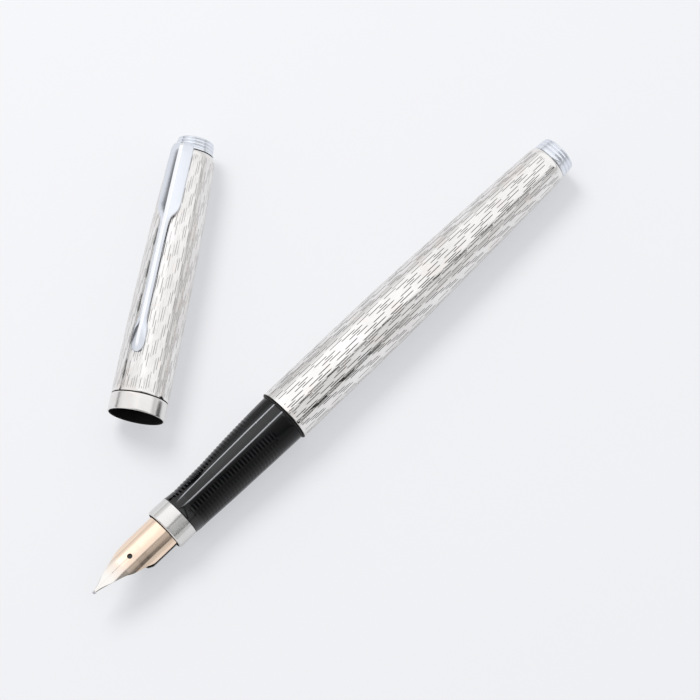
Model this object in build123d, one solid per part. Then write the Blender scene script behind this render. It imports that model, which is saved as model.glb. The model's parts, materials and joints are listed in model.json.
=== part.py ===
from build123d import *
import math
import os

# Fountain pen, uncapped, with its cap lying beside it.
# Millimetres, +Z up. The origin is at the bottom centre of the whole arrangement's bounding box.
# Until the last step the pen is drawn along X: x = 0 is the front of the grip's ring, the nib
# points to -X and the barrel runs to +X. The cap is drawn along its own axis from its mouth,
# u = 0, to its top, and is then laid beside the pen.

# ------------------------------------------------------------------ driving dimensions
AXIS_H = 5.31            # height of both axes over the floor: the barrel's widest radius
FIT = 0.05               # radial running clearance of sliding and turning fits

# front section
RING_L = 3.86            # ring at the front of the grip
RING_R0, RING_R1 = 4.25, 4.21
GRIP_X1 = 29.55          # back of the grip
GRIP_R0, GRIP_R1 = 4.20, 4.93
GRIP_MID = [(6.5, 4.30), (8.4, 4.38), (12.9, 4.55), (15.6, 4.62), (19.3, 4.70), (22.9, 4.80)]   # between its ends
RING_BORE = 3.90         # bore of the ring, round the collar's wide front
HOUSE_R = 3.60           # bore of the grip for the nib unit
FACET_R = [(4.7, 3.95), (8.4, 4.05), (12.9, 4.16), (15.6, 4.36), (19.3, 4.58), (23.0, 4.76), (25.0, 4.90)]   # at the middle of a facet
SEAT_R = 4.15            # wide bore at the back of the grip, and the male thread's crest
JUNCTION_X = 29.83       # plane where the grip's gasket meets the barrel

# nib unit
NIB_LEN = 16.8           # tip to ring
NIB_T = 0.25
NIB_MOUTH_R = 3.63       # circle that holds the nib's wings where they enter the collar
NIB_TAIL_R = 3.25        # and where its tail sits in the collar
NIB_ROLL = 10.0          # the nib's crest leans this far from +Z towards +Y
BREATHER_D, BREATHER_R = 9.00, 0.50
COLLAR_X0, COLLAR_X1 = 0.40, 10.0
COLLAR_STEP = 3.75       # the collar is wide as far as this
FEED_TAIL_R = 1.40
FEED_TAIL_X = 24.0
FEED_MAX_R = 3.58        # the wide front is turned down to this

# converter
NIPPLE_R, NIPPLE_X1 = 1.25, 31.8
CONV_X0 = 26.0
TUBE_R, TUBE_RI = 3.10, 2.60
TUBE_X0, TUBE_X1 = 33.0, 60.0
SLEEVE_X1 = 72.0
COLLARC_X1 = 73.5
KNOB_X0, KNOB_X1 = 73.7, 82.0
SEAL_X0, SEAL_X1 = 57.0, 59.6
ROD_R, ROD_X1 = 1.0, 79.5
STEADY_X0, STEADY_L, STEADY_R = 38.6, 1.5, 3.50

# barrel
BARREL_X1 = 98.60
TAIL_LEN = 2.84
TAIL_R0, TAIL_R1 = 3.75, 3.45
BARREL_OUT = [(29.85, 5.31), (36.0, 5.26), (46.0, 5.22), (56.0, 5.17), (66.0, 4.98),
              (75.4, 4.68), (84.7, 4.42), (94.1, 4.11), (97.6, 3.95)]
BARREL_IN = [(29.85, 4.85), (50.0, 4.85), (57.0, 4.80), (66.0, 4.62), (75.4, 4.31),
             (84.7, 4.05), (92.5, 3.81), (97.2, 3.45)]

# cap
CAP_LEN = 53.6           # mouth to the end of the top button
CAP_SHELL = 50.85
CAP_BORE = GRIP_R1 + FIT # 4.98
CAP_OUT = [(3.6, 5.26), (12.0, 5.24), (20.0, 5.16), (29.0, 5.00), (39.0, 4.72), (49.0, 4.30)]
LIP_R = 5.27
LIP_L = 3.28
CLUTCH_U0, CLUTCH_U1, CLUTCH_RI, CLUTCH_RO = 15.0, 22.0, 4.63, 4.80
INNER_U0, INNER_U1 = 23.3, 48.6
INNER_SEAT_U, INNER_END_U = 30.1, 47.7
INNER_R = 3.72           # bore of the liner round the nib
CAPBTN_R0, CAPBTN_R1 = 3.60, 3.38
CAP_MOUTH = (10.86, 18.78)   # where the mouth lies, in the pen's own x and y
CAP_TURN = 34.30             # mouth-to-top heading from +X towards +Y, degrees
CLIP_ROLL = 20.0             # the clip leans this far from +Z towards the cap's left

# clip, in the cap's u and the clip's own height from the cap axis
CLIP_STATIONS = [  # u, half width, ridge half width, ridge height, edge height, thickness
    (10.70, 0.30, 0.12, 5.62, 5.54, 0.24),
    (11.20, 0.68, 0.16, 5.72, 5.58, 0.28),
    (12.10, 1.05, 0.20, 5.83, 5.61, 0.31),
    (13.40, 1.32, 0.22, 5.92, 5.63, 0.33),
    (14.80, 1.28, 0.22, 5.97, 5.65, 0.33),
    (16.10, 1.00, 0.24, 5.98, 5.68, 0.31),
    (17.40, 0.78, 0.26, 5.98, 5.70, 0.30),
    (27.00, 0.78, 0.27, 5.95, 5.66, 0.30),
    (35.20, 0.82, 0.28, 5.89, 5.60, 0.32),
    (36.40, 1.00, 0.28, 5.87, 5.53, 0.34),
    (37.40, 1.60, 0.28, 5.85, 5.33, 0.36),
    (38.40, 2.08, 0.28, 5.83, 5.19, 0.38),
    (39.60, 2.26, 0.28, 5.81, 5.14, 0.38),
    (49.60, 2.26, 0.28, 5.60, 4.90, 0.38),
    (50.60, 2.14, 0.26, 5.48, 4.82, 0.38),
    (51.20, 1.90, 0.22, 5.24, 4.70, 0.38),
]
CLIP_NECK_W, CLIP_NECK_T = 3.2, 0.32
CLIP_RING_U0, CLIP_RING_U1, CLIP_RING_R = 51.00, 51.30, 3.78

parts = {}


# ------------------------------------------------------------------ helpers
def turned(profile):
    """Closed (x, r) outline turned about X."""
    line = Polyline(*[(x, 0, r) for x, r in profile], close=True)
    return Part() + revolve(make_face(line), axis=Axis.X)


def tube(x0, x1, r_out, r_in=None):
    if r_in is None:
        return turned([(x0, 0), (x0, r_out), (x1, r_out), (x1, 0)])
    return turned([(x0, r_in), (x0, r_out), (x1, r_out), (x1, r_in)])


def turned_curve(outer, rest):
    """Outline whose first stretch is a smooth curve through outer, closed by straight runs."""
    curve = Spline(*[(x, 0, r) for x, r in outer])
    run = Polyline(*[(x, 0, r) for x, r in [outer[-1]] + rest + [outer[0]]])
    return Part() + revolve(make_face([curve, run]), axis=Axis.X)


def block(x0, x1, y0, y1, z0, z1):
    return Pos((x0 + x1) / 2, (y0 + y1) / 2, (z0 + z1) / 2) * Box(x1 - x0, y1 - y0, z1 - z0)


def rod_x(x0, x1, r, y=0.0, z=0.0):
    return Pos((x0 + x1) / 2, y, z) * Rot(0, 90, 0) * Cylinder(r, x1 - x0)


def one_solid(shape):
    """The largest solid of a result, with slivers left behind."""
    return Part() + max(shape.solids(), key=lambda s: s.volume)


# ------------------------------------------------------------------ front section
grip = turned([
    (RING_L, HOUSE_R), (RING_L, GRIP_R0 - 0.05),
    (RING_L + 0.12, GRIP_R0 + 0.02), *GRIP_MID, (GRIP_X1 - 0.15, GRIP_R1), (GRIP_X1, GRIP_R1 - 0.12),
    (GRIP_X1, SEAT_R), (24.3, SEAT_R), (24.3, HOUSE_R),
])
# three long shallow facets round the grip, one to each side of the crest and one underneath,
# left plain at both ends; each facet is the near side of a wide turned shape
LOBE_OFF = 3.2           # a facet is struck from a centre this far past the grip's axis
keep = None
for angle in (60, 180, 300):
    a = math.radians(angle)
    outline = [(FACET_R[0][0], 0)] + [(x, r + LOBE_OFF) for x, r in FACET_R] + [(FACET_R[-1][0], 0)]
    lobe = Pos(0, -LOBE_OFF * math.sin(a), -LOBE_OFF * math.cos(a)) * turned(outline)
    keep = lobe if keep is None else keep & lobe
facet_cut = rod_x(5.0, 23.4, 6.5) - keep
grip = one_solid(grip - facet_cut)
grip = Rot(-NIB_ROLL, 0, 0) * grip
parts["grip_section"] = grip

ring = turned([
    (0.0, RING_BORE), (0.0, RING_R0 - 0.18), (0.18, RING_R0), (RING_L, RING_R1), (RING_L, RING_BORE),
])
# two engraved index marks for setting the nib's angle, one short and one long
short_mark = block(0.25, 1.10, -0.07, 0.07, RING_R0 - 0.08, RING_R0 + 0.5)
long_mark = block(0.90, 3.30, -0.08, 0.08, RING_R0 - 0.10, RING_R0 + 0.5)
ring = ring - Rot(12, 0, 0) * short_mark - Rot(41, 0, 0) * long_mark
parts["index_ring"] = one_solid(ring)

parts["grip_gasket"] = tube(GRIP_X1, JUNCTION_X, GRIP_R1 - 0.05, SEAT_R)

# threaded tube fixed in the back of the grip; the barrel screws on to it
connector = [(25.8, 3.25), (25.8, SEAT_R), (30.4, SEAT_R)]
x = 30.4
while x < 36.2:
    connector += [(x, SEAT_R), (x + 0.30, SEAT_R - 0.30), (x + 0.45, SEAT_R - 0.30), (x + 0.75, SEAT_R)]
    x += 0.75
connector += [(x, SEAT_R), (x + 0.6, SEAT_R - 0.3), (x + 0.6, 3.25)]
flat = [connector[0]]
for p in connector[1:]:
    if math.dist(p, flat[-1]) > 1e-6:
        flat.append(p)
parts["section_connector"] = turned(flat)

# finned ink collector round the feed's tail
fins = [(10.4, FEED_TAIL_R + 0.1), (10.4, HOUSE_R)]
x = 11.2
while x < 23.0:
    fins += [(x, HOUSE_R), (x, 2.3), (x + 0.45, 2.3), (x + 0.45, HOUSE_R)]
    x += 1.05
fins += [(24.2, HOUSE_R), (24.2, FEED_TAIL_R + 0.1)]
parts["ink_collector"] = turned(fins)

# plug behind the collector, with the tube that the converter pushes on to
parts["feed_nipple"] = turned([
    (24.3, 0.6), (24.3, SEAT_R), (25.8, SEAT_R), (25.8, NIPPLE_R), (NIPPLE_X1 - 0.3, NIPPLE_R),
    (NIPPLE_X1, NIPPLE_R - 0.2), (NIPPLE_X1, 0.6),
])

# ------------------------------------------------------------------ nib unit
parts["nib_collar"] = turned([
    (COLLAR_X0, NIB_MOUTH_R + FIT), (COLLAR_X0, RING_BORE - FIT - 0.06), (COLLAR_X0 + 0.08, RING_BORE - FIT),
    (COLLAR_STEP, RING_BORE - FIT), (COLLAR_STEP, HOUSE_R - FIT), (COLLAR_X1, HOUSE_R - FIT),
    (COLLAR_X1, NIB_TAIL_R + FIT), (COLLAR_STEP - 0.3, NIB_TAIL_R + FIT), (COLLAR_STEP - 0.3, NIB_MOUTH_R + FIT),
])

# stations along the nib: distance from the tip, half width at the edges, height of the edges,
# height of the crest, thickness; heights are from the pen's axis, and each section is half an oval
NIB_ST = [
    (0.00, 0.24, 1.90, 2.02, 0.10), (0.90, 0.42, 1.95, 2.13, 0.12), (1.90, 0.72, 2.02, 2.28, 0.16),
    (3.70, 1.33, 2.22, 2.52, 0.20), (5.50, 1.87, 2.10, 2.66, 0.25), (6.30, 2.12, 2.02, 2.69, 0.25),
    (6.90, 2.42, 2.00, 2.70, 0.25), (7.40, 2.60, 1.90, 2.70, 0.25), (8.20, 2.79, 1.56, 2.70, 0.25),
    (9.10, 2.96, 1.12, 2.70, 0.25), (10.00, 3.14, 0.58, 2.71, 0.25), (10.90, 3.36, 0.02, 2.72, 0.25),
    (11.20, 3.42, 0.00, 2.73, 0.25), (16.80, 3.43, 0.00, 2.75, 0.25), (18.60, 3.43, 0.00, 2.75, 0.25),
    (20.00, 2.95, -1.10, 2.60, 0.25), (25.50, 2.95, -1.10, 2.60, 0.25),
]
ARC = [math.radians(t) for t in range(-90, 91, 15)]


def nib_section(d, wide, edge, crest, t):
    x = -NIB_LEN + d
    outer = [(x, wide * math.sin(q), edge + (crest - edge) * math.cos(q)) for q in ARC]
    inner = [(x, (wide - t) * math.sin(q), edge + (crest - t - edge) * math.cos(q)) for q in reversed(ARC)]
    return make_face(Polyline(*outer, *inner, close=True))


nib_whole = Part() + loft([nib_section(*s) for s in NIB_ST], ruled=True)
slit = block(-NIB_LEN - 1, -NIB_LEN + BREATHER_D, -0.03, 0.03, -1, 5)
hole = Pos(-NIB_LEN + BREATHER_D, 0, 2.4) * Cylinder(BREATHER_R, 3)
nib = one_solid(nib_whole - slit - hole)

# hard point: a small ball under the tip, slit in two halves like the tines
ball = Pos(-NIB_LEN + 0.12, 0, 1.84) * Sphere(0.36)
ball = ball - nib_whole - slit
tipping = Part() + [s for s in ball.solids() if s.volume > 0.005]

# feed: its top lies inside the nib, and its lower half is as wide as the nib, so that it shows
# as a black edge under the wings; a stem runs through the collar, and a thin tail through the
# ink collector
FEED_ST = {               # distance from the tip: half width of the lower half, height of the bottom
    4.60: (0.90, 1.90), 5.50: (1.30, 1.35), 6.30: (1.60, 0.85), 6.90: (1.80, 0.45), 7.40: (1.95, 0.10),
    8.20: (2.20, -0.45), 9.10: (2.50, -1.10), 9.75: (2.70, -1.55), 10.00: (3.22, -1.75), 10.90: (3.44, -2.45),
    11.20: (3.45, -2.60), 16.80: (3.45, -2.92), 18.60: (3.45, -2.92),
}


def nib_at(d):
    for p, q in zip(NIB_ST, NIB_ST[1:]):
        if p[0] <= d <= q[0]:
            f = (d - p[0]) / (q[0] - p[0])
            return [u + f * (v - u) for u, v in zip(p, q)]


def feed_section(d, half, bottom):
    _, wide, edge, crest, t = nib_at(d)
    x = -NIB_LEN + d
    top = [(x, (wide - t - 0.05) * math.sin(q), edge + (crest - t - 0.05 - edge) * math.cos(q)) for q in ARC]
    lip = edge - 0.04
    low = [(x, half * math.cos(q), lip - (lip - bottom) * math.sin(q)) for q in [math.radians(k) for k in range(0, 181, 15)]]
    return make_face(Polyline(*top, *low, close=True))


front = Part() + loft([feed_section(d, *v) for d, v in FEED_ST.items()], ruled=True)
front = front & rod_x(-NIB_LEN - 1, 4, FEED_MAX_R)
feed = front + rod_x(0.5, COLLAR_X1, 2.28) + rod_x(COLLAR_X1 - 0.1, FEED_TAIL_X, FEED_TAIL_R)
fx = -NIB_LEN + 7.6
while fx < -1.2:
    feed = feed - block(fx, fx + 0.28, -4, 4, -4, -1.55 if fx > -NIB_LEN + 9.6 else -0.7)
    fx += 0.66
feed = one_solid(feed)

for name, shape in (("nib", nib), ("nib_tipping", tipping), ("feed", feed)):
    parts[name] = Rot(-NIB_ROLL, 0, 0) * shape

# ------------------------------------------------------------------ converter
parts["converter_mouthpiece"] = turned([
    (CONV_X0, NIPPLE_R + FIT), (CONV_X0, 2.6), (CONV_X0 + 0.4, 2.9), (TUBE_X0, 2.9), (TUBE_X0, TUBE_RI),
    (TUBE_X0 + 1.5, TUBE_RI), (TUBE_X0 + 1.5, NIPPLE_R + FIT),
])
parts["converter_tube"] = tube(TUBE_X0, TUBE_X1, TUBE_R, TUBE_RI)
parts["converter_sleeve"] = turned([
    (TUBE_X1, TUBE_RI), (TUBE_X1, TUBE_R), (62.0, TUBE_R), (62.0, TUBE_R - 0.2), (62.5, TUBE_R - 0.2),
    (62.5, TUBE_R), (SLEEVE_X1, TUBE_R), (SLEEVE_X1, TUBE_RI),
])
parts["converter_end_collar"] = tube(SLEEVE_X1, COLLARC_X1, TUBE_R, 1.60)
parts["piston_seal"] = turned([
    (SEAL_X0, 0), (SEAL_X0, 2.2), (SEAL_X0 + 0.25, TUBE_RI - 0.03), (SEAL_X0 + 0.7, TUBE_RI - 0.03),
    (SEAL_X0 + 0.9, 2.25), (SEAL_X1 - 0.9, 2.25), (SEAL_X1 - 0.7, TUBE_RI - 0.03),
    (SEAL_X1 - 0.2, TUBE_RI - 0.03), (SEAL_X1, 2.3), (SEAL_X1, 0),
])
# the screw sleeve turns with the knob and drives the rod
parts["converter_screw"] = turned([
    (60.4, ROD_R + FIT), (60.4, 1.9), (66.0, 1.9), (66.0, 1.55), (70.6, 1.55), (70.6, 2.3), (71.9, 2.3),
    (71.9, 1.50), (KNOB_X0 + 4.0, 1.50), (KNOB_X0 + 4.0, ROD_R + FIT),
])
knob = turned([
    (KNOB_X0, 1.50), (KNOB_X0, 2.7), (KNOB_X0 + 0.3, 2.9), (KNOB_X1 - 0.5, 2.9), (KNOB_X1, 2.4),
    (KNOB_X1, 0), (KNOB_X1 - 1.6, 0), (KNOB_X1 - 1.6, ROD_R + FIT), (KNOB_X0 + 4.0, ROD_R + FIT),
    (KNOB_X0 + 4.0, 1.50),
])
for k in range(24):
    a = 2 * math.pi * k / 24
    knob = knob - rod_x(KNOB_X0 + 0.6, KNOB_X1 - 0.8, 0.16, 2.93 * math.cos(a), 2.93 * math.sin(a))
parts["converter_knob"] = one_solid(knob)
parts["piston_rod"] = tube(SEAL_X1, ROD_X1, ROD_R)
parts["converter_steady_ring"] = turned([
    (STEADY_X0, TUBE_R + 0.1), (STEADY_X0, STEADY_R - 0.1), (STEADY_X0 + 0.1, STEADY_R),
    (STEADY_X0 + STEADY_L - 0.1, STEADY_R), (STEADY_X0 + STEADY_L, STEADY_R - 0.1),
    (STEADY_X0 + STEADY_L, TUBE_R + 0.1),
])

# ------------------------------------------------------------------ barrel
parts["barrel_shell"] = turned_curve(
    BARREL_OUT, [(98.25, 3.80), (BARREL_X1, 3.60), (BARREL_X1, 1.25), (97.2, 1.25)] + BARREL_IN[::-1])
bushing = [(29.95, SEAT_R + FIT), (29.95, 4.82), (36.6, 4.82), (36.6, SEAT_R + FIT)]
parts["barrel_bushing"] = turned(bushing)
g = BARREL_X1
parts["barrel_end_button"] = turned([
    (94.9, 0), (94.9, 1.20), (g + 0.02, 1.20), (g + 0.02, TAIL_R0 - 0.12), (g + 0.14, TAIL_R0),
    (g + 0.78, TAIL_R0 - 0.01), (g + 0.84, TAIL_R0 - 0.22), (g + 0.96, TAIL_R0 - 0.22), (g + 1.02, TAIL_R0 - 0.03),
    (g + 1.56, TAIL_R0 - 0.06), (g + 1.62, TAIL_R0 - 0.26), (g + 1.74, TAIL_R0 - 0.26), (g + 1.80, TAIL_R0 - 0.09),
    (g + 2.23, TAIL_R0 - 0.14), (g + 2.29, TAIL_R0 - 0.34), (g + 2.41, TAIL_R0 - 0.34), (g + 2.47, TAIL_R0 - 0.20),
    (g + TAIL_LEN - 0.12, TAIL_R1), (g + TAIL_LEN, TAIL_R1 - 0.15), (g + TAIL_LEN, 0),
])
nut = Pos((96.1 + 97.2) / 2, 0, 0) * Rot(0, 90, 0) * extrude(RegularPolygon(2.3, 6), 0.55, both=True)
parts["barrel_end_nut"] = one_solid(nut - rod_x(95, 98, 1.20))

# ------------------------------------------------------------------ cap, along its own axis
cap = {}
cap["cap_shell"] = turned_curve(CAP_OUT, [
    (50.1, 4.12), (50.55, 3.98), (CAP_SHELL, 3.72), (CAP_SHELL, 1.60), (49.5, 1.60), (49.5, 3.94),
    (48.6, 3.97), (39.0, 4.37), (29.0, 4.65), (INNER_U0, 4.76), (CLUTCH_U1, 4.80), (CLUTCH_U0, 4.80),
    (CLUTCH_U0 - 0.1, CAP_BORE), (0.0, CAP_BORE), (0.0, LIP_R - 0.08), (0.10, LIP_R), (LIP_L - 0.14, LIP_R),
    (LIP_L - 0.04, LIP_R - 0.13), (LIP_L + 0.10, LIP_R - 0.13), (LIP_L + 0.20, LIP_R - 0.01),
])
clutch = tube(CLUTCH_U0, CLUTCH_U1, CLUTCH_RO, CLUTCH_RI)
for k in range(8):
    slot = block(CLUTCH_U0 - 1, CLUTCH_U1 - 1.6, -0.35, 0.35, 3, 6)
    clutch = clutch - Rot(45 * k, 0, 0) * slot
cap["cap_clutch_spring"] = one_solid(clutch)
cap["inner_cap"] = turned([
    (INNER_U0, 4.33), (INNER_U0, 4.76), (29.0, 4.65), (39.0, 4.37), (INNER_U1, 3.97), (INNER_U1, 0),
    (INNER_END_U, 0), (INNER_END_U, 3.0), (INNER_END_U - 0.5, INNER_R), (INNER_SEAT_U, INNER_R), (INNER_SEAT_U, 4.33),
])
capnut = Pos((48.65 + 49.45) / 2, 0, 0) * Rot(0, 90, 0) * extrude(RegularPolygon(2.9, 6), 0.40, both=True)
cap["cap_nut"] = one_solid(capnut - rod_x(48, 50, 1.50))
cap["clip_washer"] = tube(CAP_SHELL, CLIP_RING_U0, 3.30, 1.55)
cap["clip_ring"] = tube(CLIP_RING_U0, CLIP_RING_U1, CLIP_RING_R, 1.55)
b = CLIP_RING_U1 + 0.02
cap["cap_top_button"] = turned([
    (48.7, 0), (48.7, 1.50), (b, 1.50), (b, CAPBTN_R0 - 0.08), (b + 0.08, CAPBTN_R0),
    (b + 0.42, CAPBTN_R0), (b + 0.48, CAPBTN_R0 - 0.20), (b + 0.60, CAPBTN_R0 - 0.20), (b + 0.66, CAPBTN_R0 - 0.02),
    (b + 1.04, CAPBTN_R0 - 0.05), (b + 1.10, CAPBTN_R0 - 0.24), (b + 1.22, CAPBTN_R0 - 0.24), (b + 1.28, CAPBTN_R0 - 0.07),
    (b + 1.66, CAPBTN_R0 - 0.12), (b + 1.72, CAPBTN_R0 - 0.32), (b + 1.84, CAPBTN_R0 - 0.32), (b + 1.90, CAPBTN_R0 - 0.18),
    (CAP_LEN - 0.14, CAPBTN_R1 - 0.02), (CAP_LEN, CAPBTN_R1 - 0.2), (CAP_LEN, 0),
])


def clip_section(u, w, c, hr, he, t):
    pts = [(-w, he), (-c, hr), (c, hr), (w, he), (w - 0.03, he - t), (0, he - t + 0.06), (-w + 0.03, he - t)]
    return make_face(Polyline(*[(u, y, z) for y, z in pts], close=True))


clip = Part() + loft([clip_section(*s) for s in CLIP_STATIONS], ruled=True)
neck = block(CLIP_RING_U0 - 0.02, CLIP_RING_U0 - 0.02 + CLIP_NECK_T, -CLIP_NECK_W / 2, CLIP_NECK_W / 2,
             CLIP_RING_R + 0.06, 4.72)
clip = one_solid(clip + neck)
# small pad under the tip that rides on the cap
pad = Pos(13.6, 0, 5.44) * Box(1.6, 0.9, 0.22)
clip = one_solid(clip + pad)
cap["clip"] = clip

roll = Rot(-CLIP_ROLL, 0, 0)
lay = Pos(CAP_MOUTH[0], CAP_MOUTH[1], 0) * Rot(0, 0, CAP_TURN)
for name, shape in cap.items():
    parts[name] = lay * roll * shape

# ------------------------------------------------------------------ lay on the floor and centre
low, high = [1e9, 1e9, 1e9], [-1e9, -1e9, -1e9]
for shape in parts.values():
    bb = shape.bounding_box()
    for k, (a, c) in enumerate(zip(bb.min, bb.max)):
        low[k], high[k] = min(low[k], a), max(high[k], c)
# rounded to a thousandth of a millimetre
SHIFT = (round(-(low[0] + high[0]) / 2, 3), round(-(low[1] + high[1]) / 2, 3), AXIS_H)
print("shift", SHIFT, "low", low, "high", high)
for name, shape in parts.items():
    parts[name] = Pos(*SHIFT) * shape

os.makedirs("parts", exist_ok=True)
for name, shape in parts.items():
    export_step(shape, f"parts/{name}.step")
print(len(parts), "nodes")
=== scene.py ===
import bpy
import json
import math
import numpy as np
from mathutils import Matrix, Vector


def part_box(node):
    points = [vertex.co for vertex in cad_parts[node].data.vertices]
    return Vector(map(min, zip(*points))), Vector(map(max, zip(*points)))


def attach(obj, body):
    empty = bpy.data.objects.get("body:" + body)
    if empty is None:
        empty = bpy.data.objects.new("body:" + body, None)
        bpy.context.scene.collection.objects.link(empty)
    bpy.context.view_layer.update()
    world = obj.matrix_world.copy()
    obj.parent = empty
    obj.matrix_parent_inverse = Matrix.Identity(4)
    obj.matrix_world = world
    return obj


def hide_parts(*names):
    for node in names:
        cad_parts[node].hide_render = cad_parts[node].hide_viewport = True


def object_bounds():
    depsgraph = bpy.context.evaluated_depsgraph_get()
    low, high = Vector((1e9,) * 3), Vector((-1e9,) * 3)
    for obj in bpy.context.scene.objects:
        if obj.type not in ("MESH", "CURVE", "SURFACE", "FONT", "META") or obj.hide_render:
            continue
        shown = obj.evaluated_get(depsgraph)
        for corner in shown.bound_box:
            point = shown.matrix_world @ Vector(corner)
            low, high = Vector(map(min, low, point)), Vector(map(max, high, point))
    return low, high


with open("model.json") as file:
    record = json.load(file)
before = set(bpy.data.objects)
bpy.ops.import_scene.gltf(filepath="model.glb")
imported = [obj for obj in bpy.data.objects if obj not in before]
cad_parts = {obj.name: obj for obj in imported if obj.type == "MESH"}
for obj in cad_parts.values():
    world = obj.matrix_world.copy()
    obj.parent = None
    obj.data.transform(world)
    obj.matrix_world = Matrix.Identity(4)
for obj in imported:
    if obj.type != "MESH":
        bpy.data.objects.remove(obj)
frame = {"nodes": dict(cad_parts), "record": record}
nodes = frame["nodes"]
CAD_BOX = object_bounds()

# ---------------------------------------------------------------- places
# The pen lies along +X. Its own x counts from the front of the ring, its axis is y = z = 0.
# Both come from the CAD nodes' boxes.
_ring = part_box("index_ring")
_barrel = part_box("barrel_shell")
OX = _ring[0].x * 1000.0
OY = (_barrel[0].y + _barrel[1].y) * 500.0
OZ = (_barrel[0].z + _barrel[1].z) * 500.0
NIB_ROLL = math.radians(10.0)
CAP_TURN = math.radians(34.30)
CLIP_ROLL = math.radians(20.0)
CAP_MOUTH = (10.86, 18.78)


def pen(P):
    """Pen millimetres to the row frame's metres."""
    P = np.asarray(P, float)
    return (P + np.array([OX, OY, OZ])) / 1000.0


def rolled(P, a):
    """Turned about the pen's axis, so that +Z leans towards +Y by a."""
    P = np.array(P, float)
    y, z = P[..., 1].copy(), P[..., 2].copy()
    P[..., 1] = y * math.cos(a) + z * math.sin(a)
    P[..., 2] = -y * math.sin(a) + z * math.cos(a)
    return P


def on_pen(P):
    return pen(P)


def on_crest(P):
    """Drawn with the nib's crest at +Z."""
    return pen(rolled(P, NIB_ROLL))


def on_cap(P):
    """Cap millimetres (u from the mouth, clip towards +Z) to the row frame."""
    P = rolled(P, CLIP_ROLL)
    c, s = math.cos(CAP_TURN), math.sin(CAP_TURN)
    Q = np.empty_like(P)
    Q[..., 0] = CAP_MOUTH[0] + P[..., 0] * c - P[..., 1] * s
    Q[..., 1] = CAP_MOUTH[1] + P[..., 0] * s + P[..., 1] * c
    Q[..., 2] = P[..., 2]
    return pen(Q)


# ---------------------------------------------------------------- camera
# The view of the pen from high on its right, far away, with a long lens.
def camera():
    e, D = math.radians(74.4), 505.0
    ex, ey = (0.7093, 0.7049), (-0.7049, 0.7093)
    ring = (-33.16, -33.48)

    def to_pen(x, y, z):
        dx, dy = x - ring[0], y - ring[1]
        return pen((dx * ex[0] + dy * ex[1], dx * ey[0] + dy * ey[1], z))

    place = Vector(to_pen(0, -D * math.cos(e), D * math.sin(e)))
    target = Vector(to_pen(0, 0, 0))
    cam = bpy.data.cameras.new("Camera")
    cam.sensor_width = 36.0
    cam.lens = 36.0 * 2778.0 / 700.0
    cam.clip_start, cam.clip_end = 0.01, 20.0
    ob = bpy.data.objects.new("Camera", cam)
    bpy.context.scene.collection.objects.link(ob)
    ob.location = place
    ob.rotation_euler = (target - place).to_track_quat("-Z", "Y").to_euler()
    bpy.context.scene.camera = ob


camera()

# ---------------------------------------------------------------- node helpers
def sock(node, name):
    return node.inputs[name]


class Tree:
    def __init__(self, name):
        self.m = bpy.data.materials.new(name)
        self.m.use_nodes = True
        self.t = self.m.node_tree
        self.t.nodes.clear()
        self.out = self.t.nodes.new("ShaderNodeOutputMaterial")
        self.b = self.t.nodes.new("ShaderNodeBsdfPrincipled")
        self.t.links.new(self.b.outputs[0], self.out.inputs[0])

    def n(self, kind, **kw):
        node = self.t.nodes.new("ShaderNode" + kind)
        for k, v in kw.items():
            if k.startswith("i_"):
                node.inputs[k[2:].replace("_", " ")].default_value = v
            else:
                setattr(node, k, v)
        return node

    def link(self, a, b):
        self.t.links.new(a, b)

    def coords(self, scale=(1, 1, 1), rot=(0, 0, 0)):
        c = self.n("TexCoord")
        m = self.n("Mapping")
        m.inputs["Scale"].default_value = scale
        m.inputs["Rotation"].default_value = rot
        self.link(c.outputs["Object"], m.inputs["Vector"])
        return m.outputs[0]

    def noise(self, vec, scale, detail=3.0, rough=0.5, dist=0.0):
        n = self.n("TexNoise")
        n.inputs["Scale"].default_value = scale
        n.inputs["Detail"].default_value = detail
        n.inputs["Roughness"].default_value = rough
        n.inputs["Distortion"].default_value = dist
        self.link(vec, n.inputs["Vector"])
        return n.outputs["Fac"]

    def ramp(self, fac, stops):
        r = self.n("ValToRGB")
        e = r.color_ramp.elements
        while len(e) > 1:
            e.remove(e[-1])
        e[0].position = stops[0][0]
        e[0].color = stops[0][1]
        for p, c in stops[1:]:
            k = e.new(p)
            k.color = c
        self.link(fac, r.inputs["Fac"])
        return r.outputs["Color"]

    def remap(self, fac, lo, hi, a=0.0, b=1.0):
        r = self.n("MapRange")
        r.inputs["From Min"].default_value = a
        r.inputs["From Max"].default_value = b
        r.inputs["To Min"].default_value = lo
        r.inputs["To Max"].default_value = hi
        self.link(fac, r.inputs["Value"])
        return r.outputs["Result"]

    def mix(self, fac, a, b):
        m = self.n("Mix", data_type="RGBA")
        if hasattr(fac, "links"):
            self.link(fac, m.inputs[0])
        else:
            m.inputs[0].default_value = fac
        for v, s in ((a, m.inputs[6]), (b, m.inputs[7])):
            if hasattr(v, "links"):
                self.link(v, s)
            else:
                s.default_value = v
        return m.outputs[2]

    def math(self, op, a, b=None):
        m = self.n("Math", operation=op)
        for v, s in ((a, m.inputs[0]), (b, m.inputs[1])):
            if v is None:
                continue
            if hasattr(v, "links"):
                self.link(v, s)
            else:
                s.default_value = v
        return m.outputs[0]

    def bump(self, height, strength, distance):
        b = self.n("Bump")
        b.inputs["Strength"].default_value = strength
        b.inputs["Distance"].default_value = distance
        self.link(height, b.inputs["Height"])
        return b.outputs["Normal"]


def rgba(c):
    return (c[0], c[1], c[2], 1.0)


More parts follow.
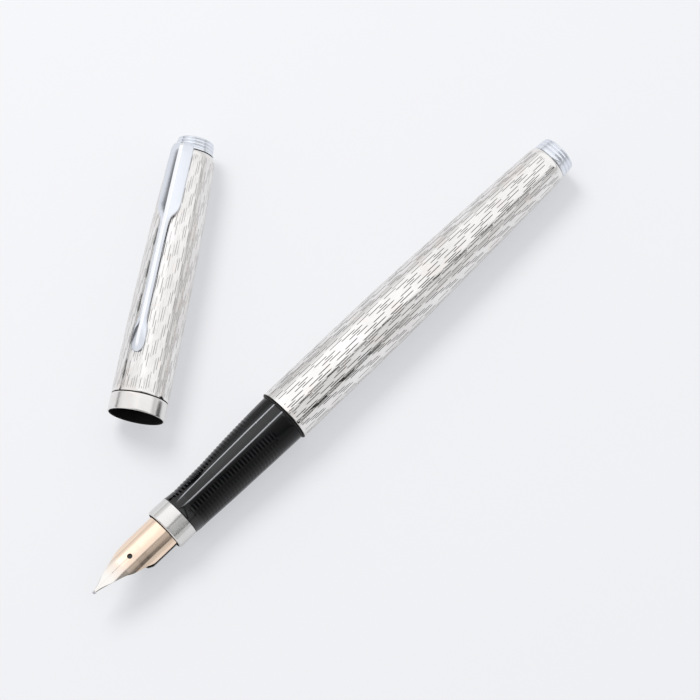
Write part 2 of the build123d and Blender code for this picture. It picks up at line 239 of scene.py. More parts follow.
def finish_mat(name, base, dark, metallic, rough, bump=0.0, scale=900.0, stretch=(1, 1, 1), rot=(0, 0, 0), spec=0.5,
               coat=0.0, coat_rough=0.05, ior=1.5, patch=60.0, bump_dist=0.00001):
    """Colour between two close tones in soft patches, roughness that wanders, and a fine surface grain."""
    T = Tree(name)
    v = T.coords()
    big = T.noise(v, patch, 3.0, 0.55)
    fine = T.noise(T.coords(stretch, rot), scale, 4.0, 0.6)
    mixed = T.math("ADD", T.math("MULTIPLY", big, 0.65), T.math("MULTIPLY", fine, 0.35))
    T.link(T.mix(T.remap(mixed, 0.0, 1.0, 0.35, 0.68), rgba(dark), rgba(base)), T.b.inputs["Base Color"])
    T.b.inputs["Metallic"].default_value = metallic
    T.b.inputs["IOR"].default_value = ior
    T.b.inputs["Specular IOR Level"].default_value = spec
    T.b.inputs["Coat Weight"].default_value = coat
    T.b.inputs["Coat Roughness"].default_value = coat_rough
    T.link(T.remap(mixed, rough[0], rough[1], 0.3, 0.7), T.b.inputs["Roughness"])
    if bump:
        T.link(T.bump(fine, bump, bump_dist), T.b.inputs["Normal"])
    return T.m


def engraved_silver(name):
    """Warm polished silver; the cut dashes hold a darker, duller tone."""
    T = Tree(name)
    v = T.coords()
    cut = T.n("Attribute", attribute_name="cut").outputs["Fac"]
    patch = T.noise(v, 110.0, 3.0, 0.6)
    fine = T.noise(v, 1600.0, 3.0, 0.6)
    tone = T.mix(T.remap(patch, 0.0, 1.0, 0.35, 0.65), rgba((0.80, 0.778, 0.757)), rgba((0.895, 0.881, 0.868)))
    # a trace of pinkish tarnish in patches
    blush = T.noise(v, 190.0, 2.0, 0.5)
    tone = T.mix(T.remap(blush, 0.0, 0.55, 0.56, 0.72), tone, rgba((0.80, 0.735, 0.69)))
    dull = T.math("MULTIPLY", T.remap(cut, 0.55, 0.0, -0.5, 0.0), T.remap(cut, 0.1, 1.0, -1.0, -0.6))
    tone = T.mix(dull, tone, rgba((0.60, 0.585, 0.575)))       # fine streaks on the lands; the lip is plainer
    col = T.mix(T.remap(cut, 0.0, 1.0, 0.10, 0.75), tone, rgba((0.045, 0.040, 0.036)))
    T.link(col, T.b.inputs["Base Color"])
    T.b.inputs["Metallic"].default_value = 1.0
    r = T.math("ADD", T.remap(patch, 0.055, 0.11, 0.35, 0.65), T.remap(cut, 0.0, 0.35, 0.1, 1.0))
    r = T.math("ADD", r, T.remap(cut, 0.15, 0.0, -1.0, -0.55))
    T.link(r, T.b.inputs["Roughness"])
    T.link(T.bump(fine, 0.10, 0.00001), T.b.inputs["Normal"])
    return T.m


def two_tone_gold(name):
    """Rose gold at the nib's back, plated paler towards the point, with faint brush lines."""
    T = Tree(name)
    patch = T.noise(T.coords(), 90.0, 3.0, 0.55)
    fine = T.noise(T.coords((0.4, 5, 5)), 1500.0, 3.0, 0.6)
    sep = T.n("SeparateXYZ")
    T.link(T.coords(), sep.inputs[0])
    rear = (OX - 9.5) / 1000.0
    along = T.remap(T.math("ADD", sep.outputs[0], T.math("MULTIPLY", patch, 0.002)), 0.0, 1.0, rear - 0.0028, rear + 0.0020)
    gold = T.mix(T.remap(patch, 0.0, 1.0, 0.35, 0.65), rgba((0.925, 0.715, 0.555)), rgba((0.955, 0.765, 0.615)))
    pale = T.mix(T.remap(patch, 0.0, 1.0, 0.35, 0.65), rgba((0.975, 0.935, 0.885)), rgba((0.985, 0.960, 0.925)))
    T.link(T.mix(along, pale, gold), T.b.inputs["Base Color"])
    T.b.inputs["Metallic"].default_value = 1.0
    T.link(T.remap(fine, 0.075, 0.14, 0.3, 0.7), T.b.inputs["Roughness"])
    T.link(T.bump(fine, 0.05, 0.00001), T.b.inputs["Normal"])
    return T.m


def grip_black(name):
    """Gloss black plastic; its moulded edges are painted light grey and part metallic, a painted highlight where they
    would catch the light.
    """
    T = Tree(name)
    edge = T.n("Attribute", attribute_name="cut").outputs["Fac"]      # 1 on an edge, -1 in a ribbed facet
    patch = T.noise(T.coords(), 80.0, 3.0, 0.55)
    fine = T.noise(T.coords(), 1400.0, 4.0, 0.6)
    base = T.mix(T.remap(patch, 0.0, 1.0, 0.35, 0.68), rgba((0.0016, 0.0017, 0.0021)), rgba((0.0032, 0.0034, 0.0040)))
    # painted highlight: the edges' light grey, part-metallic tone stands in for their glint
    T.link(T.mix(edge, base, rgba((0.38, 0.39, 0.41))), T.b.inputs["Base Color"])
    T.link(T.remap(edge, 0.0, 0.56), T.b.inputs["Metallic"])
    T.link(T.remap(edge, 0.20, 0.54, -1.0, 0.0), T.b.inputs["Specular IOR Level"])
    T.link(T.remap(patch, 0.065, 0.125, 0.3, 0.7), T.b.inputs["Roughness"])
    T.link(T.bump(fine, 0.03, 0.00001), T.b.inputs["Normal"])
    return T.m


def clip_chrome(name):
    """Cool chrome, painted near white along the ridge: a painted highlight."""
    T = Tree(name)
    ridge_highlight = T.n("Attribute", attribute_name="cut").outputs["Fac"]
    patch = T.noise(T.coords(), 75.0, 3.0, 0.55)
    fine = T.noise(T.coords(), 1500.0, 4.0, 0.6)
    side = T.mix(T.remap(patch, 0.0, 1.0, 0.35, 0.65), rgba((0.69, 0.715, 0.77)), rgba((0.76, 0.785, 0.835)))
    # painted highlight: the ridge's near-white tone
    T.link(T.mix(ridge_highlight, side, rgba((0.95, 0.96, 0.98))), T.b.inputs["Base Color"])
    T.b.inputs["Metallic"].default_value = 1.0
    T.link(T.remap(patch, 0.09, 0.16, 0.3, 0.7), T.b.inputs["Roughness"])
    T.link(T.bump(fine, 0.06, 0.00001), T.b.inputs["Normal"])
    return T.m


MAT = {}


def materials():
    MAT["engraved_silver"] = engraved_silver("silver_engraved")
    MAT["trim_chrome"] = finish_mat("chrome_cool", (0.83, 0.855, 0.90), (0.74, 0.77, 0.83), 1.0, (0.07, 0.14), bump=0.06, scale=1500)
    MAT["brushed_ring"] = finish_mat("steel_brushed", (0.80, 0.79, 0.775), (0.70, 0.69, 0.675), 1.0, (0.09, 0.15), bump=0.16, scale=2600, stretch=(6, 0.3, 0.3))
    MAT["black_gloss"] = finish_mat("black_moulded", (0.0030, 0.0032, 0.0038), (0.0016, 0.0017, 0.0021), 0.0, (0.07, 0.13), bump=0.03, scale=1400, spec=0.52)
    MAT["black_feed"] = finish_mat("black_satin", (0.016, 0.016, 0.017), (0.008, 0.008, 0.009), 0.0, (0.34, 0.48), bump=0.2, scale=1300)
    MAT["black_rubber"] = finish_mat("black_rubber", (0.012, 0.012, 0.012), (0.006, 0.006, 0.006), 0.0, (0.45, 0.62), bump=0.3, scale=1200)
    MAT["inner_brass"] = finish_mat("brass_turned", (0.78, 0.60, 0.30), (0.62, 0.46, 0.21), 1.0, (0.20, 0.34), bump=0.25, scale=2400, stretch=(6, 0.4, 0.4))
    MAT["nib_gold"] = two_tone_gold("gold_two_tone")
    MAT["grip_gloss"] = grip_black("black_grip_painted_edge_highlight")
    MAT["clip_chrome"] = clip_chrome("chrome_clip")
    MAT["nib_point"] = finish_mat("white_alloy", (0.82, 0.82, 0.84), (0.66, 0.66, 0.68), 1.0, (0.12, 0.22), bump=0.1, scale=2200)
    MAT["grey_plastic"] = finish_mat("grey_moulded", (0.45, 0.45, 0.46), (0.36, 0.36, 0.37), 0.0, (0.30, 0.42), bump=0.2, scale=1300)
    MAT["bore_dark"] = finish_mat("bore_dark", (0.012, 0.012, 0.011), (0.006, 0.006, 0.006), 0.0, (0.45, 0.60), bump=0.1, scale=1500, spec=0.2)
    MAT["spring_steel"] = finish_mat("spring_steel", (0.62, 0.62, 0.63), (0.50, 0.50, 0.51), 1.0, (0.20, 0.32), bump=0.15, scale=2400, stretch=(0.3, 4, 4))
    # clear tube
    T = Tree("clear_moulded")
    v = T.coords()
    f = T.noise(v, 700.0, 3.0, 0.6)
    T.link(T.mix(T.remap(f, 0.0, 1.0, 0.3, 0.7), rgba((0.93, 0.95, 0.96)), rgba((0.97, 0.98, 0.985))), T.b.inputs["Base Color"])
    T.link(T.remap(f, 0.03, 0.08), T.b.inputs["Roughness"])
    T.b.inputs["Transmission Weight"].default_value = 0.92
    T.b.inputs["IOR"].default_value = 1.49
    MAT["clear_tube"] = T.m


materials()
for sub in frame["record"]["subparts"]:
    ob = nodes[sub["node"]]
    ob.data.materials.clear()
    ob.data.materials.append(MAT[sub["material_slot"]])


# ---------------------------------------------------------------- mesh helpers
def make(name, verts, faces, material, body, replaces=(), attr=None, sharp=32.0, subdivide=0, second=None):
    me = bpy.data.meshes.new(name)
    me.from_pydata([tuple(v) for v in verts], [], [tuple(f) for f in faces])
    me.validate()
    me.update()
    if attr is not None:
        a = me.attributes.new("cut", "FLOAT", "POINT")
        a.data.foreach_set("value", np.asarray(attr, np.float32))
    me.materials.append(MAT[material])
    if second:                                        # (material, test on a face's index)
        me.materials.append(MAT[second[0]])
        me.polygons.foreach_set("material_index", [1 if second[1](i) else 0 for i in range(len(me.polygons))])
    me.shade_smooth()
    if sharp:
        me.set_sharp_from_angle(angle=math.radians(sharp))
    ob = bpy.data.objects.new(name, me)
    bpy.context.scene.collection.objects.link(ob)
    if subdivide:
        mod = ob.modifiers.new("Subdivision", "SUBSURF")
        mod.levels = mod.render_levels = subdivide
    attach(ob, body)
    if replaces:
        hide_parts(*replaces)
    return ob


def grid_faces(nu, nv, wrap_u=False, wrap_v=True, flip=False):
    faces = []
    for i in range(nu if wrap_u else nu - 1):
        i2 = (i + 1) % nu
        for j in range(nv if wrap_v else nv - 1):
            j2 = (j + 1) % nv
            f = (i * nv + j, i2 * nv + j, i2 * nv + j2, i * nv + j2)
            faces.append(f[::-1] if flip else f)
    return faces


def fillet(pts, radii, n=4, closed=True):
    """Rounds the corners of an (x, r) outline."""
    P = [np.array(p, float) for p in pts]
    if not isinstance(radii, (list, tuple)):
        radii = [radii] * len(P)
    out = []
    N = len(P)
    for i in range(N):
        p = P[i]
        if radii[i] <= 0 or (not closed and i in (0, N - 1)):
            out.append(tuple(p))
            continue
        a, b = P[i - 1], P[(i + 1) % N]
        da, db = a - p, b - p
        la, lb = np.linalg.norm(da), np.linalg.norm(db)
        t = min(radii[i], 0.45 * la, 0.45 * lb)
        if t < 1e-5:
            out.append(tuple(p))
            continue
        p0, p2 = p + da / la * t, p + db / lb * t
        for k in range(n + 1):
            s = k / n
            out.append(tuple((1 - s) ** 2 * p0 + 2 * s * (1 - s) * p + s * s * p2))
    return out


def lathe(name, pts, material, body, place=on_pen, n=96, radius=0.05, replaces=(), sharp=40.0):
    """An outline turned about the axis. It may start and end on the axis, or be a closed loop off it."""
    on_axis = pts[0][1] < 1e-9
    radii = radius if isinstance(radius, (list, tuple)) else [radius] * len(pts)
    radii = [0 if p[1] < 1e-9 else r for p, r in zip(pts, radii)]
    prof = fillet(pts, radii, closed=not on_axis)
    th = np.arange(n) * 2 * math.pi / n
    if on_axis:
        body_pts = [p for p in prof if p[1] > 1e-9]
        rings = np.array([[(x, r * math.sin(t), r * math.cos(t)) for t in th] for x, r in body_pts])
        verts = np.concatenate([rings.reshape(-1, 3), [[prof[0][0], 0, 0], [prof[-1][0], 0, 0]]])
        faces = grid_faces(len(body_pts), n, flip=True)
        a, b = len(body_pts) * n, len(body_pts) * n + 1
        for j in range(n):
            k = (j + 1) % n
            faces.append((j, k, a))
            faces.append(((len(body_pts) - 1) * n + k, (len(body_pts) - 1) * n + j, b))
    else:
        rings = np.array([[(x, r * math.sin(t), r * math.cos(t)) for t in th] for x, r in prof])
        verts = rings.reshape(-1, 3)
        faces = grid_faces(len(prof), n, wrap_u=True, flip=True)
    return orient(make(name, place(verts), faces, material, body, replaces, sharp=sharp))


def orient(ob):
    """Normals outward on a closed mesh."""
    me = ob.data
    co = np.zeros(len(me.vertices) * 3)
    me.vertices.foreach_get("co", co)
    co = co.reshape(-1, 3)
    co = co - co.mean(0)
    me.calc_loop_triangles()
    tri = np.zeros(len(me.loop_triangles) * 3, np.int32)
    me.loop_triangles.foreach_get("vertices", tri)
    t = co[tri.reshape(-1, 3)]
    vol = np.einsum("ij,ij->i", t[:, 0], np.cross(t[:, 1], t[:, 2])).sum()
    if vol < 0:
        me.flip_normals()
    return ob


def smooth_curve(x, xs, ys):
    """Monotone cubic through the points (Fritsch-Carlson)."""
    x, xs, ys = np.asarray(x, float), np.asarray(xs, float), np.asarray(ys, float)
    h = np.diff(xs)
    d = np.diff(ys) / h
    m = np.zeros(len(xs))
    m[0], m[-1] = d[0], d[-1]
    for i in range(1, len(xs) - 1):
        if d[i - 1] * d[i] > 0:
            w1, w2 = 2 * h[i] + h[i - 1], h[i] + 2 * h[i - 1]
            m[i] = (w1 + w2) / (w1 / d[i - 1] + w2 / d[i])
    k = np.clip(np.searchsorted(xs, x) - 1, 0, len(xs) - 2)
    t = (x - xs[k]) / h[k]
    t = np.clip(t, 0, 1)
    return ((2 * t**3 - 3 * t**2 + 1) * ys[k] + (t**3 - 2 * t**2 + t) * h[k] * m[k]
            + (-2 * t**3 + 3 * t**2) * ys[k + 1] + (t**3 - t**2) * h[k] * m[k + 1])


def step01(x, a, b):
    t = np.clip((np.asarray(x, float) - a) / (b - a), 0, 1)
    return t * t * (3 - 2 * t)


def wander(x, row, seed):
    """A smooth wandering value along x for one row, in -1..1."""
    rng = np.random.RandomState(seed * 7919 + row)
    ph = rng.rand(4) * 2 * math.pi
    fr = np.array([0.9, 1.7, 2.9, 4.3]) * (0.85 + 0.3 * rng.rand(4))
    am = np.array([0.45, 0.3, 0.15, 0.1])
    return sum(a * np.sin(f * x + p) for a, f, p in zip(am, fr, ph))


# ---------------------------------------------------------------- engraved shells
ROWS = 84                  # engraved lines round the shell
OFFS = [-0.098, -0.060, -0.032, 0.0, 0.032, 0.060, 0.098, 0.204]   # across one line, mm at r = 5.2


def engraved(x, radius, seed, x_from, x_to, period=6.9, weight=1.0, streak=0.2):
    """Radius change and cut depth on a grid of x by angle: dashes on each line, in uneven steps from line to line."""
    pitch = 2 * math.pi / ROWS
    th, kind, row = [], [], []
    for k in range(ROWS):
        for o in OFFS:
            th.append(k * pitch + o / 5.2)
            kind.append(o)
            row.append(k)
    th = np.array(th)
    dr = np.zeros((len(x), len(th)))
    cut = np.zeros_like(dr)
    rng = np.random.RandomState(seed)
    phase = np.cumsum(rng.choice([0.07, 0.20, 0.33, 0.45, 0.58, 0.80], ROWS, p=[0.13, 0.15, 0.22, 0.24, 0.16, 0.10])
                      + rng.uniform(-0.05, 0.05, ROWS))
    thr = rng.uniform(-0.06, 0.32, ROWS)
    deep = rng.uniform(0.62, 1.0, ROWS) * weight
    ends = step01(x, x_from, x_from + 0.25) * (1 - step01(x, x_to - 0.25, x_to))
    for j in range(len(th)):
        k = row[j]
        w = np.cos(2 * math.pi * (x / period + phase[k])) + 0.16 * wander(x, k, seed + 3)
        m = step01(w, thr[k], thr[k] + 0.16) * ends * deep[k]
        o = abs(kind[j])
        across = 1.0 if o < 0.01 else (0.72 if o < 0.04 else (0.12 if o < 0.07 else 0.0))
        dr[:, j] -= 0.042 * m * across
        cut[:, j] = m * (1.0 if o < 0.04 else (0.45 if o < 0.07 else 0.0))
        if o > 0.07:       # fine dull streaks on the lands
            cut[:, j] = -streak * ends * np.clip(0.35 + 1.1 * wander(x * 1.5, k + (100 if o > 0.15 else 0), seed + 31), 0, 1)
        # each land between two lines is slightly crowned beside the cuts, and leans its own way
        crown = 1.0 if o > 0.15 else 0.0
        lean = {0.098: 0.8, -0.098: -0.8}.get(kind[j], 0.0)
        dr[:, j] += ends * (0.0180 * crown * m / weight + 0.0016 * lean * wander(x * 1.1, k, seed + 11)
                            + 0.0012 * wander(x * 0.6, k, seed + 19))
    return th, dr - 0.002, cut


def shell(name, x, r, inner, front, back, seed, x_from, x_to, place, body, node, period, gap_shade_rings=0, grooves=(), dull=()):
    """Engraved outside, closed by plain rim, bore and end rings; the bore and the first front rings take a dark
    material, painted shade.
    """
    th, dr, cut = engraved(x, r, seed, x_from, x_to, period, *((0.60, 0.5) if place is on_cap else (1.0, 0.22)))
    n = len(th)
    s, c = np.sin(th), np.cos(th)
    rings, cuts = [], []

    def ring(xx, rr, cc=None):
        rr = np.broadcast_to(rr, th.shape)
        rings.append(np.stack([np.full(n, xx), rr * s, rr * c], 1))
        cuts.append(np.zeros(n) if cc is None else cc)

    for k, (xx, rr) in enumerate(front):
        ring(xx, rr, np.ones(n) if k in grooves else (np.full(n, -1.0) if k in dull else None))
    for i, xx in enumerate(x):
        ring(xx, r[i] + dr[i], cut[i])
    for xx, rr in back:
        ring(xx, rr)
    for xx, rr in inner:
        ring(xx, rr)
    verts = np.concatenate(rings)
    faces = grid_faces(len(rings), n, wrap_u=True, flip=True)
    first_in = len(front) + len(x) + len(back) - 1    # the bore, from the last outside ring on
    # painted shade: the bore and the first front rings take the dark bore material, for the shade inside and in the gap
    # at the grip
    inside = lambda i: i // n >= first_in or i // n < gap_shade_rings
    return orient(make(name, place(verts), faces, "engraved_silver", body, (node,),
                       attr=np.concatenate(cuts), sharp=50.0, second=("bore_dark", inside)))


BARREL_OUT = [(29.85, 5.31), (36.0, 5.26), (46.0, 5.22), (56.0, 5.17), (66.0, 4.98),
              (75.4, 4.68), (84.7, 4.42), (94.1, 4.11), (97.6, 3.95)]
BARREL_IN = [(29.85, 4.85), (50.0, 4.85), (57.0, 4.80), (66.0, 4.62), (75.4, 4.31),
             (84.7, 4.05), (92.5, 3.81), (97.2, 3.45)]


def barrel():
    x = np.arange(30.15, 97.75, 0.30)
    bx, br = zip(*BARREL_OUT)
    r = smooth_curve(np.clip(x, 29.85, 97.6), bx, br)
    front = [(29.86, 5.05), (29.85, 5.17), (29.87, 5.25), (29.93, 5.295), (30.01, 5.303), (30.04, 5.307)]
    back = [(97.9, 3.935), (98.2, 3.89), (98.42, 3.80), (98.54, 3.70), (98.60, 3.58), (98.60, 1.25), (97.2, 1.25)]
    inner = [(a, b) for a, b in BARREL_IN[::-1]][:-1] + [(29.95, 4.86), (29.87, 4.90)]
    # the first four front rings are painted dark: painted shade in the gap where the barrel meets the grip
    return shell("barrel_engraved", x, r, inner, front, back, 5, 30.5, 97.5, on_pen, "barrel", "barrel_shell", 6.9, gap_shade_rings=4)


CAP_OUT = [(3.6, 5.26), (12.0, 5.24), (20.0, 5.16), (29.0, 5.00), (39.0, 4.72), (49.0, 4.30)]


def cap():
    x = np.arange(3.75, 49.9, 0.30)
    cx, cr = zip(*CAP_OUT)
    r = smooth_curve(np.clip(x, 3.6, 49.0), cx, cr)
    r = r - 0.055 * np.clip(x - 49.0, 0, None) - 0.05 * np.clip(x - 49.0, 0, None) ** 2
    front = [(0.0, 5.06), (-0.0, 5.13), (0.02, 5.21), (0.08, 5.25), (0.16, 5.265), (0.5, 5.27), (1.6, 5.27), (2.8, 5.27),
             (3.14, 5.265), (3.20, 5.245), (3.24, 5.13), (3.27, 5.08), (3.39, 5.08), (3.42, 5.13), (3.46, 5.235), (3.52, 5.255)]
    back = [(50.1, 4.13), (50.35, 4.07), (50.58, 3.98), (50.74, 3.87), (50.83, 3.76), (50.85, 3.66), (50.85, 1.60),
            (49.5, 1.60), (49.5, 3.94)]
    inner = [(48.6, 3.97), (39.0, 4.37), (29.0, 4.65), (23.3, 4.76), (22.0, 4.80), (15.0, 4.80), (14.9, 4.98), (0.25, 4.98), (0.06, 5.0)]
    return shell("cap_engraved", x, r, inner, front, back, 23, 3.9, 50.0, on_cap, "cap", "cap_shell", 6.4,
                 grooves=(10, 11, 12, 13), dull=range(2, 10))


barrel()
cap()

# ---------------------------------------------------------------- grip
GRIP_R = [(3.86, 4.15), (3.98, 4.22), (6.5, 4.30), (8.4, 4.38), (12.9, 4.55), (15.6, 4.62), (19.3, 4.70), (22.9, 4.80), (29.4, 4.93)]


def grip():
    x = np.concatenate([[3.86, 3.90, 3.98, 4.1, 4.3, 4.6, 4.9], np.arange(5.1, 26.2, 0.09), np.arange(26.3, 29.3, 0.3), [29.40, 29.48, 29.53, 29.55]])
    gx, gr = zip(*GRIP_R)
    R = np.interp(x, gx, gr)
    R[-1], R[-2], R[-3] = 4.81, 4.87, 4.91
    half_strip = np.interp(x, [3.9, 4.3, 5.2, 7.0, 14.0, 22.0, 29.5], [0.38, 0.55, 0.74, 0.84, 0.98, 1.05, 1.05])
    depth = np.interp(x, [3.9, 4.6, 6.0, 8.4, 12.9, 15.6, 19.3, 22.9, 29.5], [0.0, 0.14, 0.29, 0.34, 0.40, 0.28, 0.13, 0.06, 0.03])
    rib_on = step01(x, 5.0, 6.4) * (1 - step01(x, 23.6, 26.0))
    bead = [-0.17, -0.125, -0.085, -0.045, 0.0, 0.045, 0.085, 0.125, 0.17]
    cols = []                                         # (third, kind, value)
    for k in range(3):
        cols += [(k, "strip", v) for v in (-0.7, -0.35, 0.0, 0.35, 0.7)]
        cols += [(k, "edge", b) for b in bead]
        cols += [(k, "facet", v) for v in np.linspace(0.02, 0.98, 40)]
        cols += [(k, "edge2", b) for b in bead]
    P = np.zeros((len(x), len(cols), 3))
    for j, (k, kind, v) in enumerate(cols):
        c = math.radians(120.0 * k)
        ws = half_strip / R
        w2 = math.radians(120.0) - ws
        b = 0.17 / R
        if kind == "strip":
            a = v * (ws - b)
        elif kind == "edge":
            a = ws + v / R
        elif kind == "facet":
            a = (ws + b) + v * (w2 - ws - 2 * b)
        else:
            a = w2 + v / R
        u = np.clip((a - ws) / (w2 - ws), 0, 1)       # 0..1 across the facet
        well = np.sin(math.pi * u) ** 0.62
        r = R - 0.035 - depth * well
        if kind in ("edge", "edge2"):
            r = r + 0.035 * max(0.0, 1 - (abs(v) / 0.13) ** 2) * step01(x, 4.0, 4.8)
        rib = np.cos(2 * math.pi * (x - 5.0) / 0.72)
        side = step01(u, 0.10, 0.20) * (1 - step01(u, 0.80, 0.90))
        r = r + 0.040 * (rib - 1.0) * rib_on * side
        ang = c + a
        P[:, j, 0] = x
        P[:, j, 1] = r * np.sin(ang)
        P[:, j, 2] = r * np.cos(ang)
    n = len(cols)
    ang = []
    for j in range(n):
        ang.append((P[len(x) // 2, j, 1], P[len(x) // 2, j, 2]))
    inner = [(29.55, 4.15), (24.3, 4.15), (24.3, 3.60), (3.86, 3.60)]
    th = np.arctan2([a[0] for a in ang], [a[1] for a in ang])
    rings = [P[i] for i in range(len(x))]
    for xx, rr in inner:
        rings.append(np.stack([np.full(n, xx), rr * np.sin(th), rr * np.cos(th)], 1))
    verts = np.concatenate(rings)
    faces = grid_faces(len(rings), n, wrap_u=True, flip=True)
    # the cut attribute: painted highlight on the edge beads, a lower specular level in the facets
    line = []
    for _, kind, v in cols:
        if kind == "strip":
            line.append(0.0)
        elif kind == "facet":
            line.append(-float(step01(v, 0.0, 0.12) * (1 - step01(v, 0.88, 1.0))))
        else:
            line.append(max(0.0, 1 - (abs(v) / 0.16) ** 2))
    fade = list(step01(x, 4.4, 7.0)) + [0.0] * len(inner)
    attr = np.concatenate([np.array(line) * f for f in fade])
    return orient(make("grip_detail", on_crest(verts), faces, "grip_gloss", "grip", ("grip_section",),
                       attr=attr, sharp=60.0))


grip()

# ---------------------------------------------------------------- nib
NIB_LEN = 16.8
NIB_ST = [
    (0.00, 0.24, 1.90, 2.02, 0.10), (0.90, 0.42, 1.95, 2.13, 0.12), (1.90, 0.72, 2.02, 2.28, 0.16),
    (3.70, 1.33, 2.22, 2.52, 0.20), (5.50, 1.87, 2.10, 2.66, 0.25), (6.30, 2.12, 2.02, 2.69, 0.25),
    (6.90, 2.42, 2.00, 2.70, 0.25), (7.40, 2.60, 1.90, 2.70, 0.25), (8.20, 2.79, 1.54, 2.70, 0.25),
    (9.10, 2.96, 1.13, 2.70, 0.25), (10.00, 3.14, 0.72, 2.71, 0.25), (10.90, 3.34, 0.38, 2.72, 0.25),
    (11.60, 3.42, 0.19, 2.73, 0.25), (12.60, 3.425, 0.05, 2.735, 0.25), (13.80, 3.43, 0.00, 2.74, 0.25), (16.80, 3.43, 0.00, 2.75, 0.25), (18.60, 3.43, 0.00, 2.75, 0.25),
    (20.00, 2.95, -1.10, 2.60, 0.25), (25.50, 2.95, -1.10, 2.60, 0.25),
]


def cut_with(ob, cutters):
    """Boolean cuts, applied."""
    for c in cutters:
        m = ob.modifiers.new("cut", "BOOLEAN")
        m.operation, m.solver, m.object = "DIFFERENCE", "EXACT", c
    bpy.context.view_layer.update()
    dg = bpy.context.evaluated_depsgraph_get()
    me = bpy.data.meshes.new_from_object(ob.evaluated_get(dg))
    ob.modifiers.clear()
    old = ob.data
    ob.data = me
    bpy.data.meshes.remove(old)
    for c in cutters:
        d = c.data
        bpy.data.objects.remove(c)
        bpy.data.meshes.remove(d)
    ob.data.shade_smooth()
    ob.data.set_sharp_from_angle(angle=math.radians(35))
    return ob


def nib():
    S = np.array(NIB_ST)
    d = np.concatenate([np.arange(0, 7.6, 0.12), np.arange(7.6, 11.4, 0.10), np.arange(11.4, 25.4, 0.35), [25.5]])
    wide, edge, crest, thick = [smooth_curve(d, S[:, 0], S[:, k]) for k in (1, 2, 3, 4)]
    q = np.radians(np.linspace(-90, 90, 61))
    # the nib is one sheet rolled round the feed, bent down to the point, and its cut edges lie on that sheet
    roll = step01(d, 0.3, 4.0) * (1 - step01(d, 16.9, 17.9))
    rings = []
    for i in range(len(d)):
        x = -NIB_LEN + d[i]
        w, e, c, t = wide[i], edge[i], crest[i], thick[i]
        sq = np.sign(np.sin(q)) * np.abs(np.sin(q)) ** 0.92
        zo = (1 - roll[i]) * (e + (c - e) * np.cos(q)) + roll[i] * c * np.sqrt(1 - (w * sq / 3.46) ** 2)
        outer = np.stack([np.full(len(q), x), w * sq, zo], 1)
        qi = q[::-1]
        sqi = np.sign(np.sin(qi)) * np.abs(np.sin(qi)) ** 0.92
        zi = (1 - roll[i]) * (e + (c - t - e) * np.cos(qi)) + roll[i] * (c - t) * np.sqrt(1 - ((w - t) * sqi / (3.46 - t)) ** 2)
        inner = np.stack([np.full(len(q), x), (w - t) * sqi, zi], 1)
        rings.append(np.concatenate([outer, inner]))
    n = len(rings[0])
    verts = np.concatenate(rings)
    faces = grid_faces(len(rings), n, flip=True)
    h = n // 2
    for base, rev in ((0, False), ((len(rings) - 1) * n, True)):
        for j in range(h - 1):
            f = (base + j, base + j + 1, base + n - 2 - j, base + n - 1 - j)
            faces.append(f if rev else f[::-1])
    ob = orient(make("nib_detail", on_crest(verts), faces, "nib_gold", "nib_unit", ("nib",), sharp=40.0))
    # slit and breather hole
    cyl_th = np.arange(40) * 2 * math.pi / 40
    top = np.stack([-NIB_LEN + 9.0 + 0.5 * np.cos(cyl_th), 0.5 * np.sin(cyl_th), np.full(40, 3.6)], 1)
    bot = top.copy()
    bot[:, 2] = 1.2
    hole = bpy.data.meshes.new("hole")
    hole.from_pydata([tuple(v) for v in on_crest(np.concatenate([top, bot]))], [],
                     [tuple(range(40))] + [tuple(range(79, 39, -1))] + [(j, j + 40, (j + 1) % 40 + 40, (j + 1) % 40) for j in range(40)])
    hole_ob = bpy.data.objects.new("hole", hole)
    x0, x1, y, z0, z1 = -NIB_LEN - 0.5, -NIB_LEN + 8.7, 0.022, -0.6, 3.4
    bx = [(x0, -y, z0), (x1, -y, z0), (x1, y, z0), (x0, y, z0), (x0, -y, z1), (x1, -y, z1), (x1, y, z1), (x0, y, z1)]
    slit = bpy.data.meshes.new("slit")
    slit.from_pydata([tuple(v) for v in on_crest(bx)], [], [(3, 2, 1, 0), (4, 5, 6, 7), (0, 1, 5, 4), (1, 2, 6, 5), (2, 3, 7, 6), (3, 0, 4, 7)])
    slit_ob = bpy.data.objects.new("slit", slit)
    for c in (hole_ob, slit_ob):
        bpy.context.scene.collection.objects.link(c)
    cut_with(ob, [hole_ob, slit_ob])
    return ob


nib()

# ---------------------------------------------------------------- clip
CLIP_ST = [
    (10.70, 0.52, 0.12, 5.62, 5.54, 0.24), (11.00, 0.86, 0.16, 5.70, 5.57, 0.27), (11.60, 1.14, 0.20, 5.79, 5.60, 0.30),
    (12.30, 1.28, 0.20, 5.85, 5.61, 0.32),
    (13.40, 1.32, 0.22, 5.92, 5.63, 0.33), (14.80, 1.28, 0.22, 5.97, 5.65, 0.33), (16.10, 1.00, 0.24, 5.98, 5.68, 0.31),
    (17.40, 0.78, 0.26, 5.98, 5.70, 0.30), (27.00, 0.78, 0.27, 5.95, 5.66, 0.30), (35.20, 0.82, 0.28, 5.89, 5.60, 0.32),
    (36.40, 1.00, 0.28, 5.87, 5.53, 0.34), (37.40, 1.60, 0.28, 5.85, 5.33, 0.36), (38.40, 2.08, 0.28, 5.83, 5.19, 0.38),
    (39.60, 2.26, 0.28, 5.81, 5.14, 0.38), (49.60, 2.26, 0.28, 5.60, 4.90, 0.38), (50.60, 2.14, 0.26, 5.48, 4.82, 0.38),
    (51.20, 1.90, 0.22, 5.24, 4.70, 0.38),
]


